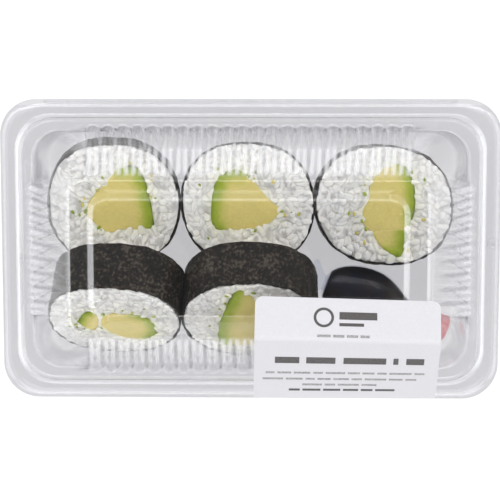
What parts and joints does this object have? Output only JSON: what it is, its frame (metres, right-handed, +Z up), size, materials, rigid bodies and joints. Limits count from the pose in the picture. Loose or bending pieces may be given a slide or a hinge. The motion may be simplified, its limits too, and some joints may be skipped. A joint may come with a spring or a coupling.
{
  "type": "takeaway sushi tray",
  "caption": "Clear hinged takeaway tray with a fluted lid, filled with avocado maki rolls and a small soy sauce bottle, with a paper label over its front edge.",
  "frame": {"origin": "middle of the pack's outline, on the surface that it stands on", "axes": "+X along the long side, to the right as seen with the label in front; +Y towards the hinge at the back; +Z up"},
  "size_m": [0.175, 0.1056, 0.0512],
  "materials": {
    "clear_plastic": "clear glossy thermoformed sheet",
    "label_paper": "coated white label with a plain dark print",
    "nori": "crinkled dried seaweed, softened by the rice",
    "rice": "moist cooked short grain rice",
    "avocado": "soft cut avocado, yellow inside and green outside",
    "bottle_plastic": "soft clear moulded plastic",
    "soy_sauce": "dark liquid",
    "cap_plastic": "moulded red plastic"
  },
  "bodies": {
    "tray": {"tray": "clear_plastic", "nori_back_left": "nori", "nori_back_middle": "nori", "nori_back_right": "nori", "nori_front_left": "nori", "nori_front_middle": "nori", "rice_back_left": "rice", "rice_back_middle": "rice", "rice_back_right": "rice", "rice_front_left": "rice", "rice_front_middle": "rice", "avocado_back_left": "avocado", "avocado_back_middle": "avocado", "avocado_back_right_1": "avocado", "avocado_back_right_2": "avocado", "avocado_front_left_1": "avocado", "avocado_front_left_2": "avocado", "avocado_front_middle": "avocado", "bottle": "bottle_plastic", "soy_sauce": "soy_sauce", "bottle_cap": "cap_plastic"},
    "lid": {"lid": "clear_plastic", "label": "label_paper"}
  },
  "joints": [
    {"name": "lid_hinge", "type": "hinge", "parent": "tray", "child": "lid", "pos_m": [0, 0.0519, 0.02465], "axis": [-1, 0, 0], "range_deg": [0, 175]}
  ]
}
